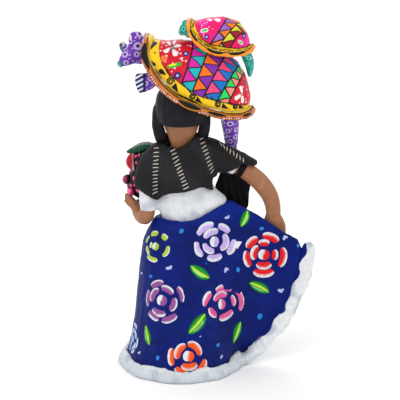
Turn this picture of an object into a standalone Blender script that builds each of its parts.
"""Papier-mache figure of a market woman in a long flowered skirt.

The right hand lifts one side of the skirt, the left arm holds a bouquet, and an armadillo
with a young one on its back lies on the head. The figure faces -Y and stands at z = 0, with
the middle of its base board at the origin. Lengths below are millimetres, and the mesh
builders turn them into metres.
"""

import math

import bmesh
import bpy
from mathutils import Matrix, Vector

MM = 0.001
CLEARANCE = 0.42  # between neighbours that touch, as the thickness of a glue line

# Driving dimensions
SKIRT_TOP = 129.0  # level of the skirt's waist edge at the left side and back
HIP_RISE = 14.5  # how much higher that edge stands over the raised right hip
SHELL_WALL = 3.0
BOARD_THICK = 5.0
BOARD_INSET = 2.2
HEM_BOTTOM = 0.3
DOWEL_RADIUS = 3.0
DOWEL_TOP = 258.0
WIRE_RADIUS = 1.1
NECK_X = 2.0  # the head stands a little to the left of the board's middle

BLUE = (0.01, 0.03, 0.30)
WHITE = (0.86, 0.87, 0.90)
CHARCOAL = (0.035, 0.035, 0.04)
BLACK = (0.01, 0.01, 0.01)
SKIN = (0.36, 0.16, 0.07)
HAIR = (0.02, 0.02, 0.025)
WOOD = (0.62, 0.45, 0.27)
WIRE = (0.45, 0.45, 0.46)
BOARD = (0.55, 0.42, 0.28)
RED = (0.62, 0.01, 0.03)
PINK = (0.78, 0.02, 0.22)
YELLOW = (0.85, 0.55, 0.03)
ORANGE = (0.82, 0.32, 0.03)
VIOLET = (0.18, 0.05, 0.42)
TEAL = (0.02, 0.35, 0.33)
LEAF_GREEN = (0.01, 0.20, 0.08)
ROSE_PINK = (0.80, 0.08, 0.28)
PAPER = (0.60, 0.55, 0.46)


# ---------------------------------------------------------------- helpers


def clear_scene():
    for obj in list(bpy.data.objects):
        bpy.data.objects.remove(obj)


def paint(name, colour, roughness=0.55, metallic=0.0):
    """A Principled material, made once for each name."""
    material = bpy.data.materials.get(name) or bpy.data.materials.new(name)
    material.use_nodes = True
    shader = material.node_tree.nodes["Principled BSDF"]
    shader.inputs["Base Color"].default_value = (*colour, 1.0)
    shader.inputs["Roughness"].default_value = roughness
    shader.inputs["Metallic"].default_value = metallic
    return material


def through(rows, count):
    """count rows on a smooth curve through the given rows of numbers (Catmull-Rom)."""
    last = len(rows) - 1
    found = []
    for i in range(count):
        t = i * last / (count - 1)
        k = min(int(t), last - 1)
        f = t - k
        a, b, c, d = (rows[min(max(j, 0), last)] for j in (k - 1, k, k + 1, k + 2))
        found.append(
            tuple(
                0.5 * (2 * q + (r - p) * f + (2 * p - 5 * q + 4 * r - s) * f * f
                       + (3 * q - p - 3 * r + s) * f ** 3)
                for p, q, r, s in zip(a, b, c, d)
            )
        )
    return found


def at(table, x):
    """Straight-line reading of a table of (x, value) rows that rises in x."""
    if x <= table[0][0]:
        return table[0][1]
    for (x0, y0), (x1, y1) in zip(table, table[1:]):
        if x <= x1:
            return y0 + (y1 - y0) * (x - x0) / (x1 - x0)
    return table[-1][1]


def smooth_step(t):
    t = min(max(t, 0.0), 1.0)
    return t * t * (3 - 2 * t)


def solid(name, rings, material, loop=False, fan=True, parent=None):
    """One closed solid over rings of points in mm: a closed loop, or a tube whose two ends
    are fans of triangles or, for a flat hollow-sided outline, single flat faces."""
    bm = bmesh.new()
    made = [[bm.verts.new(Vector(p) * MM) for p in ring] for ring in rings]
    pairs = list(zip(made, made[1:] + made[:1])) if loop else list(zip(made, made[1:]))
    sides = len(made[0])
    for a, b in pairs:
        for i in range(sides):
            j = (i + 1) % sides
            bm.faces.new((a[i], a[j], b[j], b[i]))
    if not loop and not fan:
        bm.faces.new(made[0])
        bm.faces.new(made[-1])
    elif not loop:
        for ring in (made[0], made[-1]):
            middle = bm.verts.new(sum((v.co for v in ring), Vector()) / sides)
            for i in range(sides):
                bm.faces.new((ring[i], ring[(i + 1) % sides], middle))
    bmesh.ops.recalc_face_normals(bm, faces=bm.faces)
    corners = [v.co for v in bm.verts]
    centre = Vector(
        (min(c[k] for c in corners) + max(c[k] for c in corners)) / 2 for k in range(3)
    )
    bmesh.ops.translate(bm, verts=bm.verts, vec=-centre)
    mesh = bpy.data.meshes.new(name)
    bm.to_mesh(mesh)
    bm.free()
    mesh.shade_smooth()
    mesh.set_sharp_from_angle(angle=math.radians(40))
    mesh.materials.append(material)
    obj = bpy.data.objects.new(name, mesh)
    obj.location = centre
    obj.parent = parent
    bpy.context.scene.collection.objects.link(obj)
    return obj


def oval(cx, cy, z, rx, ry, sides):
    """A level oval ring."""
    turns = [2 * math.pi * i / sides for i in range(sides)]
    return [(cx + rx * math.cos(a), cy + ry * math.sin(a), z) for a in turns]


def stack(name, rows, material, rings, sides, parent=None):
    """A solid of level ovals from rows of (z, cx, cy, rx, ry)."""
    levels = through(rows, rings)
    return solid(
        name, [oval(cx, cy, z, rx, ry, sides) for z, cx, cy, rx, ry in levels],
        material, parent=parent,
    )


def tube(name, rows, material, rings, sides, flat=(0, 1, 0), tips="", parent=None):
    """A solid along rows of (x, y, z, wide, thick). thick is measured along flat.

    tips names the ends that are rounded: "a" is the first and "b" the last."""
    path = through(rows, rings)
    sections = []
    for i, (x, y, z, wide, thick) in enumerate(path):
        before, after = path[max(i - 1, 0)], path[min(i + 1, len(path) - 1)]
        along = (Vector(after[:3]) - Vector(before[:3])).normalized()
        across = Vector(flat) - along * along.dot(Vector(flat))
        across.normalize()
        sections.append((Vector((x, y, z)), along, across, wide, thick))

    def rounded(section, way):
        centre, along, across, wide, thick = section
        reach = min(wide, thick) * 0.9
        return [
            (centre + along * way * reach * math.sin(a), along, across,
             wide * math.cos(a), thick * math.cos(a))
            for a in (math.radians(40), math.radians(72))
        ]

    if "a" in tips:
        sections = rounded(sections[0], -1)[::-1] + sections
    if "b" in tips:
        sections = sections + rounded(sections[-1], 1)
    rings_made = []
    for centre, along, across, wide, thick in sections:
        side = across.cross(along)
        rings_made.append(
            [
                centre + side * wide * math.cos(2 * math.pi * k / sides)
                + across * thick * math.sin(2 * math.pi * k / sides)
                for k in range(sides)
            ]
        )
    return solid(name, rings_made, material, parent=parent)


def blob(name, centre, radii, material, rings=7, sides=10, turn=0.0, parent=None):
    """A closed ellipsoid of radii (x, y, z), turned about Y by an angle in degrees."""
    tilt = Matrix.Rotation(math.radians(turn), 3, "Y")
    made = []
    for i in range(rings):
        a = math.radians(-80 + 160 * i / (rings - 1))
        level = oval(0, 0, radii[2] * math.sin(a), radii[0] * math.cos(a),
                     radii[1] * math.cos(a), sides)
        made.append([Vector(centre) + tilt @ Vector(p) for p in level])
    return solid(name, made, material, parent=parent)


def helper(obj):
    """Marks an object as a cutter, which is not part of the figure."""
    obj.hide_render = True
    obj.display_type = "WIRE"
    return obj


def grown(obj, by=CLEARANCE):
    """A cutter of obj's own shape, larger by a clearance all round. Made once for each piece."""
    name = obj.name + "_room"
    if name in bpy.data.objects:
        return bpy.data.objects[name]
    bm = bmesh.new()
    bm.from_mesh(obj.data)
    bm.normal_update()
    for v, normal in [(v, v.normal.copy()) for v in bm.verts]:
        v.co += normal * by * MM
    mesh = bpy.data.meshes.new(name)
    bm.to_mesh(mesh)
    bm.free()
    room = bpy.data.objects.new(name, mesh)
    room.parent = obj.parent
    room.location = obj.location
    bpy.context.scene.collection.objects.link(room)
    return helper(room)


def boolean(obj, other, operation, solver="EXACT"):
    modifier = obj.modifiers.new(f"{operation.lower()}_{other.name}", "BOOLEAN")
    modifier.operation = operation
    modifier.solver = solver
    modifier.object = other


def make_room(obj, *neighbours, solver="EXACT"):
    """Cuts obj back so that a clearance is left all round each neighbour."""
    for other in neighbours:
        boolean(obj, grown(other), "DIFFERENCE", solver)


def prism(name, outline, y_low, y_high):
    """A cutter: an outline of (x, z) points carried from one y to another."""
    rings = [[(x, y, z) for x, z in outline] for y in (y_low, y_high)]
    return helper(solid(name, rings, paint("cutter", WHITE), fan=False))


# ---------------------------------------------------------------- skirt

# Levels of the skirt: how far it reaches to the left (+X), to the right (-X), and back and
# front, without the lifted wing.
SKIRT_LEFT = [(0, 50.5), (9, 49), (23, 45.3), (45, 42.2), (85, 38.3), (105, 35.3), (113, 33.2),
              (121, 29.3), (126, 26.4), (129, 24.4)]
SKIRT_RIGHT = [(0, -46), (45, -40), (85, -36), (113, -34), (121, -34.5), (129, -39), (144, -40)]
SKIRT_DEPTH = [(0, 58), (9, 56), (45, 46), (85, 36), (105, 30), (113, 27.2), (121, 24), (129, 20.6)]
# The outer edge of the wing that the right hand lifts: (z, x), from the floor to the hip.
WING_EDGE = [(0, -47), (7, -52), (19, -66), (32, -73), (46, -84), (64, -92), (78, -97), (98, -101.5),
             (107, -103), (111, -97), (116, -87), (129.5, -67), (136, -55), (143.5, -41)]
WING_TIP_Y = 6.0
WING_TIP_HALF = 2.6
SKIRT_LEVELS = (0.6, 9, 22, 42, 63, 83, 98, 106, 111, 116, 121, 125.5, 129)
ARC_END = math.radians(148)  # where the round part of a section hands over to the wing


def skirt_section(level, shrink=1.0):
    """One closed ring of the skirt: an oval with a thin wing drawn out to the right."""
    left, right, depth = (at(t, level) for t in (SKIRT_LEFT, SKIRT_RIGHT, SKIRT_DEPTH))
    middle, reach = (left + right) / 2, (left - right) / 2
    rise = HIP_RISE * (level / SKIRT_TOP) ** 6
    tip = min(at(WING_EDGE, level + rise), right - 1.0)
    arc = [
        (middle + reach * math.cos(a), depth * math.sin(a))
        for a in (ARC_END * (i / 10 - 1) for i in range(21))
    ]
    root_x, root_y = arc[-1]
    edge_x = tip + WING_TIP_HALF
    back = []
    for i in range(1, 7):
        u = i / 6
        x = root_x + (edge_x - root_x) * u
        half = WING_TIP_HALF + (root_y - WING_TIP_HALF) * (1 - u) ** 2.4
        back.append((x, half))
    point = [(tip, 0.0)]
    front = [(x, -half) for x, half in reversed(back)]
    ring = []
    sway = WING_TIP_Y * smooth_step((root_x - tip - 4) / 24)
    for x, y in arc + back + point + front:
        u = smooth_step((root_x - x) / max(root_x - tip, 1.0))
        x_in = middle + (x - middle) * shrink
        lift = smooth_step((-x_in - 2) / 38)
        ring.append((x_in, (y + sway * u) * shrink, level + rise * lift))
    return ring


def make_skirt():
    sections = [skirt_section(level) for level in SKIRT_LEVELS]
    sections += [skirt_section(SKIRT_LEVELS[-1], shrink) for shrink in (0.7, 0.35)]
    shell = solid("skirt_shell", sections, paint("skirt_blue", BLUE))
    hollow_levels = (-6, 0, 23, 45, 85, 105, 110)
    rows = []
    for level in hollow_levels:
        left, right, depth = (at(t, level) for t in (SKIRT_LEFT, SKIRT_RIGHT, SKIRT_DEPTH))
        rows.append((level, (left + right) / 2, 0, (left - right) / 2 - SHELL_WALL, depth - SHELL_WALL))
    hollow = helper(solid("skirt_hollow", [oval(cx, cy, z, rx, ry, 24) for z, cx, cy, rx, ry in rows],
                          paint("cutter", WHITE)))
    boolean(shell, hollow, "DIFFERENCE")
    return shell


def hem_wave(turn):
    """The hand-pinched waves of the hem, from -1 to 1, at an angle round the skirt."""
    return 0.6 * math.sin(9 * turn + 0.6) + 0.4 * math.sin(14 * turn + 2.1)


def make_hem_ring(skirt):
    """The white gathered hem round the foot of the skirt."""
    sections = 40
    rings = []
    for i in range(sections):
        turn = 2 * math.pi * i / sections
        out = Vector((math.cos(turn), math.sin(turn), 0))
        foot = Vector((2.0 + 48.0 * out.x, 57.5 * out.y, 0))
        wave = hem_wave(turn)
        flare = 6.0 + 1.3 * wave
        top = 9.6 + 1.0 * math.sin(7 * turn)
        profile = [(-3.0, HEM_BOTTOM), (flare - 1.6, HEM_BOTTOM), (flare, HEM_BOTTOM + 1.8),
                   (flare - 1.5, 5.2), (1.6, top), (-3.5, top - 0.6)]
        rings.append([foot + out * r + Vector((0, 0, z)) for r, z in profile])
    hem = solid("hem_ring", rings, paint("hem_white", WHITE), loop=True)
    grown(skirt, 2 * CLEARANCE)
    make_room(hem, skirt, solver="MANIFOLD")
    trim = helper(solid("hem_inside", [oval(2, 0, z, 46.5, 55.5, 24) for z in (-5, 20)],
                        paint("cutter", WHITE)))
    boolean(hem, trim, "DIFFERENCE")
    return hem


# The hem up the wing's edge: (x, y, z, half width in the wing's plane, half thickness).
WING_HEM = [(-47, 17, 4.4, 3.6, 3.6), (-54, 12, 6.2, 4.2, 4.0), (-62, 8.5, 11, 4.8, 4.0),
            (-68, 7.5, 16.5, 5, 3.8), (-74, 7, 25, 5.4, 3.6),
            (-81.5, 6.5, 33, 5.2, 3.6), (-89, 6, 46, 6.2, 3.6), (-96.5, 6, 62, 5.6, 3.5),
            (-101.5, 6, 76, 6.2, 3.5), (-104.8, 6, 90, 5.4, 3.5), (-106.5, 6, 104, 5.2, 3.4)]


def make_hem_wing(skirt, hem_ring):
    hem = tube("hem_wing", WING_HEM, paint("hem_white", WHITE), 20, 8, tips="b")
    make_room(hem, skirt, hem_ring)
    return hem


def make_base_board():
    left, right, depth = (at(t, 0) for t in (SKIRT_LEFT, SKIRT_RIGHT, SKIRT_DEPTH))
    inset = SHELL_WALL + BOARD_INSET
    rings = [
        oval((left + right) / 2, 0, z, (left - right) / 2 - inset, depth - inset, 24)
        for z in (0, BOARD_THICK)
    ]
    return solid("base_board", rings, paint("board", BOARD, 0.8))


def make_dowel():
    rings = [oval(NECK_X, 0, z, DOWEL_RADIUS, DOWEL_RADIUS, 12) for z in (1.6, DOWEL_TOP)]
    return solid("armature_dowel", rings, paint("wood", WOOD, 0.7))


# ---------------------------------------------------------------- body

TORSO = [(119, -1, 0, 19, 14), (127, -4, 0, 23.5, 16), (136, -6.5, 0, 27.5, 17.5), (144, -7.2, 0, 29.8, 18),
         (149, -4, 0, 27, 17.3), (156, -0.7, 0, 24, 16.5), (166, 0, 0, 24, 17), (176, 0, 0, 25.5, 17.5),
         (184, 0.3, 0, 23.5, 15.5), (189.5, 1.2, 0, 16.5, 12.5), (192.5, 1.8, 0, 11.5, 10.5)]
HEAD = [(186, 2, 0.5, 8.2, 8.2), (196, 2, 1, 10.4, 9), (202, 2, -0.5, 13, 11.5), (206, 2, -2.6, 14.6, 15.5),
        (212, 2, -2.6, 16, 18), (219, 2, -2, 17.4, 19), (227, 2, -1.3, 17.8, 19.3),
        (235, 2, -0.8, 15.8, 17.2),
        (240.5, 2, -0.4, 10.8, 12), (243.5, 2, 0, 4, 4.5)]
HAIR_CAP = [(209.8, 2, 2, 18.8, 18.6), (214, 2, 1.6, 20.6, 21), (221, 2, 1, 21.6, 22.6),
            (229, 2, 0.6, 21.5, 22.4),
            (237, 2, 0.2, 18.6, 19.4), (243, 2, 0, 12.4, 13), (246.6, 2, 0, 4.5, 5)]
LEFT_STRAND = [(21.6, -1, 224, 4.2, 5), (22.4, 1, 212, 4.6, 5.2), (20.5, 1.5, 202, 5.2, 5),
               (18.6, -1, 195.5, 5.4, 3.8),
               (17.6, -11, 190.5, 5.4, 3.4), (16.6, -19.5, 181, 5.4, 3.2), (15.6, -22.4, 168, 5, 3),
               (15, -22.4, 154, 4, 2.6)]
RIGHT_STRAND = [(-17.4, -1, 224, 4.2, 5), (-18, 1, 212, 4.4, 5.2), (-16.6, 1.5, 203, 5, 5),
                (-15, -1, 196.5, 5.2, 3.8),
                (-13.6, -11, 191, 5.4, 3.4), (-12.6, -19.5, 181, 5.4, 3.2), (-11.6, -22.4, 168, 5, 3),
                (-11, -22.4, 154, 4, 2.6)]
LEFT_SLEEVE = [(19, 0, 181, 10, 10), (26, 2, 173, 9.4, 9.4), (30.4, 4.5, 160, 8.2, 8.2),
               (30.4, 6, 147, 7.6, 7.6),
               (30, 6.4, 135, 7.4, 7.4)]
RIGHT_SLEEVE = [(-16, 0, 182.5, 10.5, 10.5), (-28, 0, 179.5, 9.6, 9.6), (-38, 0.4, 176.5, 9, 9),
                (-46, 0.8, 172.6, 8.6, 8.6)]
RIGHT_CUFF = [(-46.6, 0.8, 172.3, 8.6, 8.6), (-51.2, 1, 169.6, 8.5, 8.5)]
RIGHT_ARM = [(-40, 0.5, 175.8, 6.6, 6.6), (-52, 1, 169.2, 7.2, 7.2), (-63.5, 1.4, 160, 7.6, 7.6),
             (-71.6, 1.6, 149.5, 7.2, 7.2), (-75.4, 1, 139, 6.5, 6.4), (-76, -0.6, 130.5, 6.2, 5.4)]
RIGHT_HAND = [(-76, -0.9, 129.9, 6.4, 5.2), (-76.2, -2, 125, 8.6, 4.6), (-77.4, -3.4, 119, 9.6, 3.9),
              (-79.5, -4.6, 112.5, 8.4, 3.3), (-81, -5.2, 107.5, 6.2, 2.6)]
LEFT_ARM = [(30.2, 5.6, 147, 6, 6), (30.6, 6.2, 137, 6.3, 6.3), (32.6, 3.6, 129.4, 6.6, 6.6),
            (36.4, -5, 127.6, 6.2, 6.2), (39.4, -14, 130, 5.4, 5.4)]
LEFT_HAND = [(39.8, -14.8, 130.4, 5.6, 5), (42.4, -17.6, 133.6, 7.4, 4), (45.6, -18.8, 137.6, 7, 3.2),
             (49, -19, 142.4, 4.6, 2.4)]
RIGHT_WIRE = [(-4, 0, 183), (-28, 0, 179.5), (-46, 0.8, 172.6), (-63.5, 1.4, 160), (-73, 1.5, 147),
              (-75.6, 0.8, 136.5)]
LEFT_WIRE = [(9, 0, 183), (22, 1, 177), (30.2, 4.5, 160), (30.4, 6, 145), (32, 4.6, 131.5), (37, -6, 127.9)]


def make_torso():
    return stack("blouse_body", TORSO, paint("blouse_white", WHITE), 13, 16)


def make_head():
    return stack("head", HEAD, paint("skin", SKIN, 0.5), 14, 16)


def make_hair_cap(head):
    cap = stack("hair_cap", HAIR_CAP, paint("hair", HAIR, 0.45), 9, 16)
    window = helper(blob("face_window", (NECK_X, -22, 215), (14.6, 19, 23), paint("cutter", WHITE), 7, 14))
    boolean(cap, window, "DIFFERENCE", "MANIFOLD")
    make_room(cap, head, solver="MANIFOLD")
    return cap


def make_wire(name, rows):
    route = [(*row, WIRE_RADIUS, WIRE_RADIUS) for row in rows]
    return tube(name, route, paint("wire", WIRE, 0.4, 1.0), 11, 6)


def make_strand(name, rows, *inside):
    strand = tube(name, rows, paint("hair", HAIR, 0.45), 12, 8, flat=(0.1, -1, 0.5), tips="b")
    make_room(strand, *inside)
    return strand


# The shawl as it lies from behind: its outline in (x, z), clockwise from the left shoulder.
SHAWL_BACK = [(34, 200), (27, 194), (12.7, 192), (4.8, 191), (-3, 194.5), (-9.4, 198.5), (-13, 203),
              (-20, 210), (-66, 200), (-62, 174), (-58.5, 174.5), (-48.8, 176.5), (-40, 171), (-33.4, 167.3),
              (-26, 166.6), (-24.2, 161), (-25.4, 153), (-15, 158.5), (0.3, 154.5), (12, 152.4), (17.7, 150.5),
              (22.6, 145.5), (29, 149.5), (36, 153.5), (48, 162)]
SHAWL_FRONT_LEFT = [(10, 206), (9, 190), (12, 175), (14, 160), (20, 152), (30, 150), (37, 153),
                    (48, 162), (40, 206)]
SHAWL_FRONT_RIGHT = [(-4, 206), (-7, 190), (-12, 176), (-17, 165), (-27, 163), (-38, 165), (-47, 167),
                     (-61, 172), (-66, 206)]
SHAWL_CORE = [(142, -1, 1, 27.8, 22.6), (150, -1, 1, 28.4, 22.4), (158, -0.5, 1, 28, 21.8),
              (168, 0, 1, 28.4, 21.8), (177, 0, 1, 29, 21.8), (184, 0, 1, 27.4, 20), (190, 0.6, 1, 21.6, 16.8),
              (196, 1.6, 1, 16, 14.4),
              (204, 2, 1, 13.4, 13.4), (209, 2, 1, 12.6, 12.8)]
SHAWL_LEFT = [(14, 0, 184, 13, 13), (24, 1.5, 177, 13, 13), (30.5, 4.2, 163, 11.6, 11.6),
              (30.6, 5.8, 148, 10.8, 10.8), (30, 6, 138, 10.6, 10.6)]
SHAWL_RIGHT = [(-8, 0.6, 188, 13.5, 13.5), (-20, 0.8, 184.4, 14, 13.4), (-33, 0.8, 179.4, 12.4, 12.4),
               (-46, 1, 173.6, 11.6, 11.6), (-59.5, 1.4, 166.6, 11, 11)]


def make_shawl(*inside):
    """The shawl is the space close round the shoulders, cut to the outline it lies in."""
    cloth = paint("shawl_charcoal", CHARCOAL, 0.75)
    shawl = stack("shawl", SHAWL_CORE, cloth, 12, 20)
    for name, rows in (("shawl_over_left", SHAWL_LEFT), ("shawl_over_right", SHAWL_RIGHT)):
        boolean(shawl, helper(tube(name, rows, cloth, 8, 14)), "UNION", "MANIFOLD")
    outline = prism("shawl_outline", SHAWL_BACK, -4.5, 60)
    fronts = {"shawl_outline_left": SHAWL_FRONT_LEFT, "shawl_outline_right": SHAWL_FRONT_RIGHT}
    for name, points in fronts.items():
        boolean(outline, prism(name, points, -60, 0.5), "UNION")
    boolean(shawl, outline, "INTERSECT", "MANIFOLD")
    make_room(shawl, *inside, solver="MANIFOLD")
    return shawl


SHAWL_END = [(176, -46, -14, 9, 2.2), (170, -45, -15.6, 11, 2.4), (160, -43, -16.4, 15, 2.5),
             (146, -41, -16.6, 16, 2.6),
             (132, -39.5, -17, 15.6, 2.6), (121, -38.5, -18, 14.2, 2.6)]


def make_shawl_end(*inside):
    end = stack("shawl_end", SHAWL_END, paint("shawl_black", BLACK, 0.8), 7, 16)
    make_room(end, *inside)
    return end


# ---------------------------------------------------------------- bouquet

BOUQUET = [(139, 35, -24, 4.6, 4.6), (143, 36.4, -24, 9.4, 9), (149.5, 37.2, -24, 12.2, 11.4),
           (157, 37, -24, 12.4, 12),
           (164.5, 35.6, -23.6, 10, 10.4), (171, 34.6, -23, 10.8, 11), (177.5, 33.4, -22.4, 10.6, 10.6),
           (182.5, 32, -22, 6, 6)]
BOUQUET_LEAVES = [(24, -20, 183.4, 2.6, 5), (30, -21.4, 185, 3.8, 8.6), (37, -22.6, 183.8, 4, 9.2),
                  (43, -22.4, 181.4, 3, 6), (48.2, -21.6, 180.2, 1.4, 1.8)]
RED_FLOWER = [(41.6, -17.4, 165.4, 2, 2), (45, -17.6, 169.6, 4, 3.4), (46, -17.8, 174.2, 3.8, 3.2),
              (44.6, -17.8, 178.6, 1.8, 1.8)]
# Roses stand on the bouquet at (height, angle round it in degrees, radius).
ROSES = [(147, 40, 4.0), (156, 12, 4.3), (153, -48, 4.6), (147, -95, 4.4), (161, -100, 4.6),
         (172.5, -62, 4.4)]


def make_bouquet(*inside):
    core = stack("bouquet_core", BOUQUET, paint("bouquet_black", BLACK), 9, 12)
    make_room(core, *inside)
    leaves = tube("bouquet_leaves", BOUQUET_LEAVES, paint("leaf_green", LEAF_GREEN), 7, 8, tips="ab")
    make_room(leaves, core, *inside)
    flower = tube("bouquet_red_flower", RED_FLOWER, paint("flower_red", RED), 6, 7, tips="ab")
    make_room(flower, core, leaves, *inside)
    widths = [(z, rx) for z, _, _, rx, _ in BOUQUET]
    for number, (height, degrees, radius) in enumerate(ROSES, 1):
        reach = at(widths, height) + 0.6
        angle = math.radians(degrees)
        centre = (36.2 + reach * math.cos(angle), -23.7 + reach * math.sin(angle), height)
        pink = paint("rose_pink", ROSE_PINK)
        rose = blob(f"bouquet_rose_{number}", centre, (radius, radius, radius), pink, 5, 7)
        make_room(rose, core, flower, leaves, *inside)
    return core


# ---------------------------------------------------------------- armadillos

# Sections of the carapace along the animal (u, from tail to head): the height of its crest,
# its half width and the height of its lower edge, in the animal's own upright frame.
CREST = [(-43, 11), (-41, 15.5), (-36, 22.5), (-29, 31), (-21, 36.5), (-5, 39.5), (12, 40.5),
         (26, 37.6), (35, 32.6), (43, 29.4),
         (51, 28.5)]
HALF_WIDTH = [(-43, 8), (-41, 12.5), (-36, 17.6), (-29, 21.4), (-15, 24.4), (5, 25.4), (25, 24.4),
              (38, 22), (51, 23)]
LOWER_EDGE = [(-43, 3), (-36, 0), (-25, -2.5), (-5, -4), (12, -3.5), (25, -0.5), (35, 4.5), (43, 10),
              (51, 17)]
CARAPACE_STATIONS = (-43, -41, -37, -30, -21, -9, 5, 19, 31, 40, 46, 51)
# The edge curve that the brim follows, from the middle of the tail end to the top of the
# neck arch: (u, v, w) and the way the brim flares from it.
BRIM = [(-44.5, 0, 6, -0.9, 0, -0.4), (-42.5, 12, 3.6, -0.7, 0.4, -0.6), (-36, 20.2, 0, -0.3, 0.6, -0.7),
        (-23, 25, -3.6, 0, 0.62, -0.78), (-5, 27.2, -5, 0, 0.62, -0.78), (12, 27.2, -5, 0, 0.62, -0.78),
        (26, 26.2, -1.6, 0.3, 0.6, -0.75), (37.5, 24.6, 4.4, 0.5, 0.5, -0.7),
        (46.5, 24, 12, 0.75, 0.45, -0.45),
        (52, 22.6, 18, 0.85, 0.45, 0), (52.8, 17.4, 24.6, 0.85, 0.35, 0), (51.8, 9.4, 28, 0.85, 0.2, -0.1),
        (51, 0, 28.9, 0.85, 0, -0.1)]
BRIM_HALF = 4.0
BRIM_THICK = 2.0


def arch(u, grow, scale, steps):
    """A closed loaf-shaped section across the animal at u, its shell grown by an amount."""
    su, sv, sw = scale
    crest = at(CREST, u) * sw + grow
    half = at(HALF_WIDTH, u) * sv + grow
    low = at(LOWER_EDGE, u) * sw
    ring = []
    for i in range(steps + 1):
        a = math.pi * i / steps
        ring.append((u * su, half * math.cos(a), low + (crest - low) * math.sin(a) ** 0.86))
    return ring, half, low


def make_carapace_solid(name, grow, scale, material, parent, belly=0.0):
    """The hood of the shell as a solid loaf. belly adds a rounded underside below its edge."""
    coarse = scale[0] < 1
    stations = CARAPACE_STATIONS[:-1:2] + CARAPACE_STATIONS[-1:] if coarse else CARAPACE_STATIONS
    rings = []
    for u in stations:
        ring, half, low = arch(u, grow, scale, 8 if coarse else 12)
        under = [
            (ring[0][0], -half * 0.98 * math.cos(math.pi * k / 5), low - belly * math.sin(math.pi * k / 5))
            for k in range(1, 5)
        ]
        rings.append(ring + under)
    return solid(name, rings, material, parent=parent)


def make_brim(name, scale, material, parent):
    near = through(BRIM, 17 if scale[0] == 1 else 11)
    far = [(u, -v, w, du, -dv, dw) for u, v, w, du, dv, dw in near[1:-1][::-1]]
    loop = near + far
    count = len(loop)
    half, thick = BRIM_HALF * (0.45 + 0.55 * scale[1]), BRIM_THICK * (0.4 + 0.6 * scale[1])
    rings = []
    for i, row in enumerate(loop):
        su, sv, sw = scale
        place = Vector((row[0] * su, row[1] * sv, row[2] * sw))
        nxt, prv = loop[(i + 1) % count], loop[i - 1]
        along = Vector([(nxt[k] - prv[k]) * scale[k] for k in range(3)]).normalized()
        out = Vector(row[3:])
        out = (out - along * along.dot(out)).normalized()
        side = along.cross(out)
        centre = place + out * (half * 0.85)
        rings.append(
            [
                centre
                + out * half * math.cos(2 * math.pi * k / 6)
                + side * thick * math.sin(2 * math.pi * k / 6)
                for k in range(6)
            ]
        )
    return solid(name, rings, material, loop=True, parent=parent)


def animal_frame(name, x, y, z, pitch):
    """An empty whose +X runs from the animal's tail to its head, raised by pitch degrees."""
    frame = bpy.data.objects.new(name, None)
    frame.location = Vector((x, y, z)) * MM
    frame.rotation_euler = (0, -math.radians(pitch), 0)
    bpy.context.scene.collection.objects.link(frame)
    return frame


def make_armadillo(name, frame, scale, colours, below):
    """Body, carapace and brim of one animal. below are the pieces it rests on."""
    belly_paint, shell_paint = paint(f"{name}_belly", colours["brim"]), paint(f"{name}_shell", colours["shell"])
    body = make_carapace_solid(f"{name}_body", -2.2, scale, belly_paint, frame, belly=4.0 * scale[2])
    make_room(body, *below, solver="MANIFOLD")
    shell = make_carapace_solid(f"{name}_carapace", 0.0, scale, shell_paint, frame)
    make_room(shell, body, *below, solver="MANIFOLD")
    brim = make_brim(f"{name}_brim", scale, paint(f"{name}_brim", colours["brim"]), frame)
    make_room(brim, body, shell, *below, solver="MANIFOLD")
    return body, shell, brim


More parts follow.
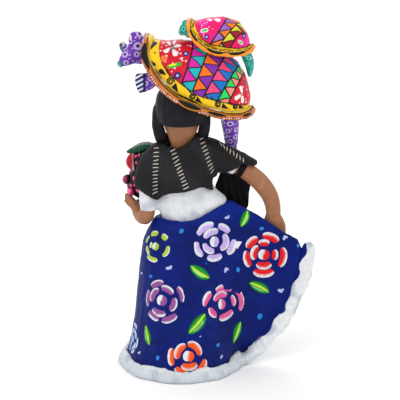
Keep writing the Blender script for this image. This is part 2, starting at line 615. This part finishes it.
def make_large_armadillo(below):
    """The armadillo that lies across the head and faces +X."""
    frame = animal_frame("large_armadillo_frame", -12, 0, 236, 22)
    body, shell, brim = make_armadillo("armadillo", frame, (1, 1, 1), {"shell": RED, "brim": ORANGE}, below)
    skin = paint("armadillo_skin", VIOLET)
    inside = (body, shell, brim, *below)
    head = tube("armadillo_head", [(31, 0, 268.5, 8.4, 7.6), (36, 0, 269.5, 10, 9),
                                   (41, 1.6, 269.4, 9.6, 8.4),
                                   (46, 4, 266, 6.8, 6),
                                   (49.5, 5.6, 263.4, 4.8, 4.4)], skin, 8, 10, tips="b")
    make_room(head, *inside, solver="MANIFOLD")
    nose = blob("armadillo_nose", (52, 7, 261.4), (3.2, 3.2, 3.0), paint("teal", TEAL), 5, 8)
    make_room(nose, head, solver="MANIFOLD")
    near_ear = tube("armadillo_ear_near", [(38.6, 4.6, 275, 5, 2.4), (39.2, 5.4, 281, 6.8, 2.6),
                                           (39.8, 5.8, 286, 5, 2.2)],
                    skin, 5, 9, tips="b")
    make_room(near_ear, head, *inside, solver="MANIFOLD")
    far_ear = tube("armadillo_ear_far", [(46.4, -3.6, 269.6, 3.2, 2), (49.4, -4.2, 272.4, 3.8, 2.2),
                                         (51.4, -4.6, 276, 2.8, 1.8)],
                   skin, 5, 9, tips="b")
    make_room(far_ear, head, near_ear, solver="MANIFOLD")
    paws = []
    for side, y in (("near", 1), ("far", -1)):
        # The far paw hangs lower, down beside the woman's temple.
        hang = 1 if side == "far" else 0
        paw = tube(f"armadillo_paw_{side}", [(20, 14 * y, 255 - 2 * hang, 4.8, 4.4),
                                             (26 - hang, 19 * y, 251 - 5 * hang, 5.6, 4.2),
                                             (32 - 3 * hang, 22 * y, 248.6 - 8 * hang, 8 - 2 * hang, 3.6),
                                             (37 - 4 * hang, 23.4 * y, 247.6 - 10 * hang, 8.6 - 3 * hang, 2.8)],
                   skin, 7, 9, tips="b")
        make_room(paw, *inside, solver="MANIFOLD")
        paws.append(paw)
    tail = tube("armadillo_tail", [(-37.6, 0, 224, 8.4, 8.4), (-38.8, -4, 213, 8, 8),
                                   (-39.8, -10, 199, 6.5, 6.5),
                                   (-40.2, -16.5, 187, 5.3, 5.3), (-39.6, -22.4, 174, 3.9, 3.9),
                                   (-38.4, -24.4, 163, 2.2, 2.2)],
                skin, 12, 10, tips="b")
    make_room(tail, *inside, solver="MANIFOLD")
    return body, shell, brim, tail


def make_young_armadillo(below):
    """The young one that rides on the back of the large one."""
    frame = animal_frame("young_armadillo_frame", -32.2, 1.0, 276.8, 8)
    colours = {"shell": PINK, "brim": ORANGE}
    body, shell, brim = make_armadillo("young", frame, (0.51, 0.6, 0.57), colours, below)
    skin = paint("teal", TEAL)
    inside = (body, shell, brim, *below)
    head = tube("young_head", [(-8, 1, 288, 6, 5.4), (-3, 1.4, 289, 6.6, 5.8), (0, 2.4, 288.4, 5, 4.6),
                               (1.6, 3.2, 287, 3, 2.8)],
                skin, 7, 9, tips="b")
    make_room(head, *inside, solver="MANIFOLD")
    ear = tube("young_ear", [(-2.6, 4.2, 292.4, 3, 1.6), (-2, 4.8, 296, 3.6, 1.8)], skin, 4, 8, tips="b")
    make_room(ear, head, *inside, solver="MANIFOLD")
    tail = tube("young_tail", [(-50.5, -1.5, 271, 4.6, 4.2), (-54, -3, 263, 4.4, 4),
                               (-55.4, -4.4, 255.6, 3.4, 3.2),
                               (-55.2, -5.6, 249.6, 1.8, 1.8)], skin, 7, 8, tips="b")
    make_room(tail, *inside, solver="MANIFOLD")
    return body


def make_figure():
    clear_scene()
    board = make_base_board()
    dowel = make_dowel()
    make_room(board, dowel)
    skirt = make_skirt()
    hem = make_hem_ring(skirt)
    make_hem_wing(skirt, hem)

    right_wire = make_wire("right_arm_wire", RIGHT_WIRE)
    left_wire = make_wire("left_arm_wire", LEFT_WIRE)
    head = make_head()
    make_room(head, dowel)
    torso = make_torso()
    make_room(torso, dowel, head, right_wire, left_wire)
    make_room(skirt, torso, dowel)

    skin = paint("skin", SKIN, 0.5)
    white = paint("blouse_white", WHITE)
    right_arm = tube("right_arm", RIGHT_ARM, skin, 13, 12)
    make_room(right_arm, right_wire)
    right_hand = tube("right_hand", RIGHT_HAND, skin, 8, 10, tips="b")
    make_room(right_hand, right_arm, skirt)
    left_arm = tube("left_arm", LEFT_ARM, skin, 10, 12)
    make_room(left_arm, left_wire)
    left_hand = tube("left_hand", LEFT_HAND, skin, 9, 12, flat=(-0.6, -0.3, 0.7), tips="b")
    make_room(left_hand, left_arm)
    right_sleeve = tube("right_sleeve", RIGHT_SLEEVE, white, 7, 14)
    make_room(right_sleeve, torso, right_arm, right_wire)
    cuff = tube("right_cuff", RIGHT_CUFF, paint("shawl_black", BLACK, 0.8), 2, 14)
    make_room(cuff, right_arm, right_sleeve)
    left_sleeve = tube("left_sleeve", LEFT_SLEEVE, white, 8, 14)
    make_room(left_sleeve, torso, left_arm, left_wire, skirt)

    cap = make_hair_cap(head)
    make_room(cap, dowel, solver="MANIFOLD")
    strands = [
        make_strand("hair_strand_left", LEFT_STRAND, head, cap, torso, left_sleeve),
        make_strand("hair_strand_right", RIGHT_STRAND, head, cap, torso, right_sleeve),
    ]
    shawl = make_shawl(torso, head, left_sleeve, right_sleeve, cuff, left_arm, right_arm, cap, *strands)
    make_shawl_end(skirt, right_arm, torso, right_sleeve, cuff, shawl, right_hand)
    make_bouquet(torso, left_sleeve, left_arm, left_hand, shawl, strands[0])
    large = make_large_armadillo((dowel, cap, head, *strands))
    make_room(large[3], shawl, solver="MANIFOLD")
    make_young_armadillo(large[:3])


make_figure()
